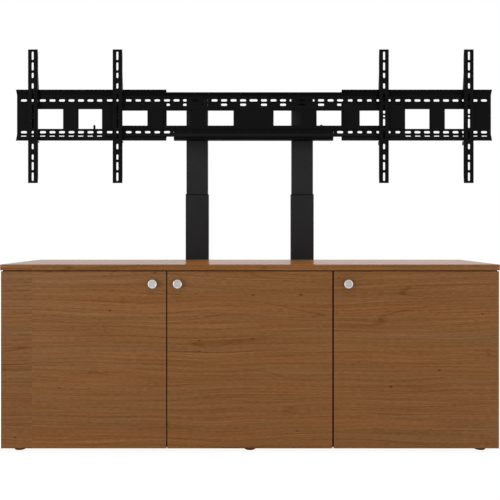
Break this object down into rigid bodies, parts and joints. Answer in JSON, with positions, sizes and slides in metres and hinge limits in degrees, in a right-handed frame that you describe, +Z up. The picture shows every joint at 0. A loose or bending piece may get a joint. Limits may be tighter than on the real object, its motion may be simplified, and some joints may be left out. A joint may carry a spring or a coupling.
{
  "type": "av credenza with display lift",
  "caption": "Low laminate media cabinet with hinged doors on levelling feet; telescopic lift columns behind it carry slotted rails and sliding arms for flat displays.",
  "frame": {"origin": "on the floor, at the middle of the bounding box", "axes": "+X along the width, +Y from the doors to the back, +Z up"},
  "size_m": [2.3872, 0.6762, 1.8572],
  "materials": {
    "laminate": "satin wood-grain laminate",
    "lining": "matt wood-grain lining",
    "knob": "satin",
    "hinge": "plated",
    "column": "black anodised",
    "mount": "black powder coat",
    "plastic": "moulded black"
  },
  "bodies": {
    "cabinet": {"top_panel": "laminate", "left_side_panel": "laminate", "right_side_panel": "laminate", "left_partition": "lining", "right_partition": "lining", "bottom_panel": "lining", "left_back_panel": "lining", "middle_back_panel": "lining", "right_back_panel": "lining", "left_shelf": "lining", "right_shelf": "lining", "left_door_upper_hinge_arm": "hinge", "left_door_lower_hinge_arm": "hinge", "middle_door_upper_hinge_arm": "hinge", "middle_door_lower_hinge_arm": "hinge", "right_door_upper_hinge_arm": "hinge", "right_door_lower_hinge_arm": "hinge", "left_base_plate": "mount", "right_base_plate": "mount", "left_outer_tube": "column", "right_outer_tube": "column", "left_outer_collar": "plastic", "right_outer_collar": "plastic", "upper_tie_bar": "mount", "lower_tie_bar": "mount", "lift_control_box": "plastic"},
    "left_door_leaf": {"left_door": "laminate", "left_knob": "knob", "left_door_upper_hinge_cup": "hinge", "left_door_lower_hinge_cup": "hinge"},
    "middle_door_leaf": {"middle_door": "laminate", "middle_knob": "knob", "middle_door_upper_hinge_cup": "hinge", "middle_door_lower_hinge_cup": "hinge"},
    "right_door_leaf": {"right_door": "laminate", "right_knob": "knob", "right_door_upper_hinge_cup": "hinge", "right_door_lower_hinge_cup": "hinge"},
    "lift_middle_stage": {"left_middle_tube": "column", "right_middle_tube": "column", "left_middle_collar": "plastic", "right_middle_collar": "plastic"},
    "lift_carriage": {"left_inner_tube": "column", "right_inner_tube": "column", "mount_crossbar": "mount", "left_upper_bracket": "mount", "right_upper_bracket": "mount", "centre_rail": "mount"},
    "left_rail": {"left_outer_rail": "mount"},
    "right_rail": {"right_outer_rail": "mount"},
    "first_arm": {"first_display_arm": "mount"},
    "second_arm": {"second_display_arm": "mount"},
    "third_arm": {"third_display_arm": "mount"},
    "fourth_arm": {"fourth_display_arm": "mount"},
    "front_left_leveller": {"front_left_foot": "plastic"},
    "front_middle_leveller": {"front_middle_foot": "plastic"},
    "front_right_leveller": {"front_right_foot": "plastic"},
    "rear_left_leveller": {"rear_left_foot": "plastic"},
    "rear_middle_leveller": {"rear_middle_foot": "plastic"},
    "rear_right_leveller": {"rear_right_foot": "plastic"}
  },
  "joints": [
    {"name": "left_door_hinge", "type": "hinge", "parent": "cabinet", "child": "left_door_leaf", "pos_m": [-1.076, -0.30075, 0.019], "axis": [0, 0, -1], "range_deg": [0, 95]},
    {"name": "middle_door_hinge", "type": "hinge", "parent": "cabinet", "child": "middle_door_leaf", "pos_m": [0.32446, -0.30075, 0.019], "axis": [0, 0, 1], "range_deg": [0, 95]},
    {"name": "right_door_hinge", "type": "hinge", "parent": "cabinet", "child": "right_door_leaf", "pos_m": [1.036, -0.30075, 0.019], "axis": [0, 0, 1], "range_deg": [0, 95]},
    {"name": "lift_slide", "type": "slide", "parent": "cabinet", "child": "lift_carriage", "axis": [0, 0, 1], "range_m": [-0.37, 0.13]},
    {"name": "middle_stage_slide", "type": "slide", "parent": "cabinet", "child": "lift_middle_stage", "axis": [0, 0, 1], "range_m": [-0.185, 0.065]},
    {"name": "left_rail_slide", "type": "slide", "parent": "lift_carriage", "child": "left_rail", "axis": [-1, 0, 0], "range_m": [-0.03, 0.19]},
    {"name": "right_rail_slide", "type": "slide", "parent": "lift_carriage", "child": "right_rail", "axis": [1, 0, 0], "range_m": [-0.03, 0.19]},
    {"name": "first_arm_slide", "type": "slide", "parent": "left_rail", "child": "first_arm", "axis": [1, 0, 0], "range_m": [-0.04, 0.1]},
    {"name": "second_arm_slide", "type": "slide", "parent": "left_rail", "child": "second_arm", "axis": [1, 0, 0], "range_m": [-0.1, 0.2]},
    {"name": "third_arm_slide", "type": "slide", "parent": "right_rail", "child": "third_arm", "axis": [1, 0, 0], "range_m": [-0.17, 0.1]},
    {"name": "fourth_arm_slide", "type": "slide", "parent": "right_rail", "child": "fourth_arm", "axis": [1, 0, 0], "range_m": [-0.1, 0.07]},
    {"name": "front_left_leveller_turn", "type": "hinge", "parent": "cabinet", "child": "front_left_leveller", "pos_m": [-1.02, -0.24985, 0], "axis": [0, 0, 1], "continuous": true},
    {"name": "front_middle_leveller_turn", "type": "hinge", "parent": "cabinet", "child": "front_middle_leveller", "pos_m": [-0.02, -0.24985, 0], "axis": [0, 0, 1], "continuous": true},
    {"name": "front_right_leveller_turn", "type": "hinge", "parent": "cabinet", "child": "front_right_leveller", "pos_m": [0.98, -0.24985, 0], "axis": [0, 0, 1], "continuous": true},
    {"name": "rear_left_leveller_turn", "type": "hinge", "parent": "cabinet", "child": "rear_left_leveller", "pos_m": [-1.02, 0.19015, 0], "axis": [0, 0, 1], "continuous": true},
    {"name": "rear_middle_leveller_turn", "type": "hinge", "parent": "cabinet", "child": "rear_middle_leveller", "pos_m": [-0.02, 0.19015, 0], "axis": [0, 0, 1], "continuous": true},
    {"name": "rear_right_leveller_turn", "type": "hinge", "parent": "cabinet", "child": "rear_right_leveller", "pos_m": [0.98, 0.19015, 0], "axis": [0, 0, 1], "continuous": true}
  ],
  "couplings": [
    {"joint": "middle_stage_slide", "follows": "lift_slide", "ratio": 0.5}
  ]
}
